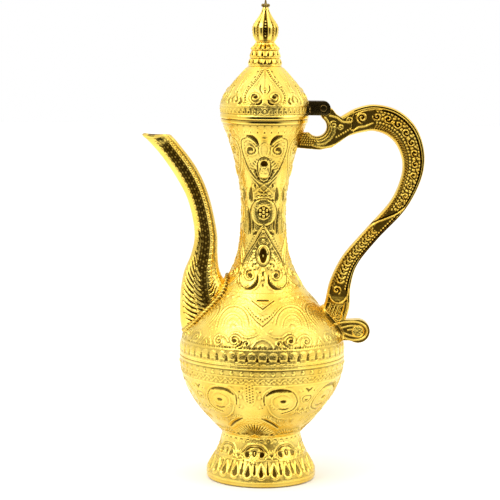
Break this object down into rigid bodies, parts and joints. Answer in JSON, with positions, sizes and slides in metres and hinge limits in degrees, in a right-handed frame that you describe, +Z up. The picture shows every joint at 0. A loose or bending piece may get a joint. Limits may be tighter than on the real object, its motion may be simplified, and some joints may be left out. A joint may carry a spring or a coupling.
{
  "type": "dallah coffee pot",
  "caption": "Tall gold-plated coffee pot with a round belly on a flared foot, curved spout, scrolled handle and hinged domed lid, embossed with scrollwork.",
  "frame": {"origin": "centre of the base pad's underside, on the surface the pot stands on, under the body's axis", "axes": "+Z up along the body's axis, +X towards the handle and -X towards the spout, Y across the pot"},
  "size_m": [0.1871, 0.11, 0.3195],
  "materials": {
    "gold_body": "polished gold plate on an embossed casting",
    "gold_foot": "polished gold plate on an embossed casting",
    "gold_lid": "polished gold plate on an embossed casting",
    "gold_finial": "polished gold plate",
    "gold_spout": "polished gold plate with beaded edges",
    "gold_handle": "polished gold plate with a darker sunk panel",
    "gold_hinge": "smooth polished gold plate",
    "foot_plate": "satin",
    "felt_pad": "short felt",
    "steel_fasteners": "plain",
    "seal_rubber": "matte"
  },
  "bodies": {
    "pot": {"upper_body": "gold_body", "lower_body": "gold_body", "foot": "gold_foot", "base_plate": "foot_plate", "base_pad": "felt_pad", "foot_bolt": "steel_fasteners", "foot_seal": "seal_rubber", "foot_washer": "steel_fasteners", "foot_nut": "steel_fasteners", "spout_front_half": "gold_spout", "spout_rear_half": "gold_spout", "spout_flange": "gold_spout", "handle": "gold_handle", "handle_upper_screw": "steel_fasteners", "handle_lower_screws": "steel_fasteners", "handle_screw_washers": "steel_fasteners", "hinge_pin": "gold_hinge"},
    "lid": {"lid_shell": "gold_lid", "lid_skirt": "gold_lid", "hinge_leaf": "gold_hinge", "leaf_rivets": "gold_hinge", "spire_collar": "gold_finial", "finial_bud": "gold_finial", "finial_flower": "gold_finial", "finial_stud": "steel_fasteners", "finial_washer": "steel_fasteners", "finial_nut": "steel_fasteners"}
  },
  "joints": [
    {"name": "lid_hinge", "type": "hinge", "parent": "pot", "child": "lid", "pos_m": [0.0388, 0, 0.2484], "axis": [0, 1, 0], "range_deg": [0, 100]}
  ]
}
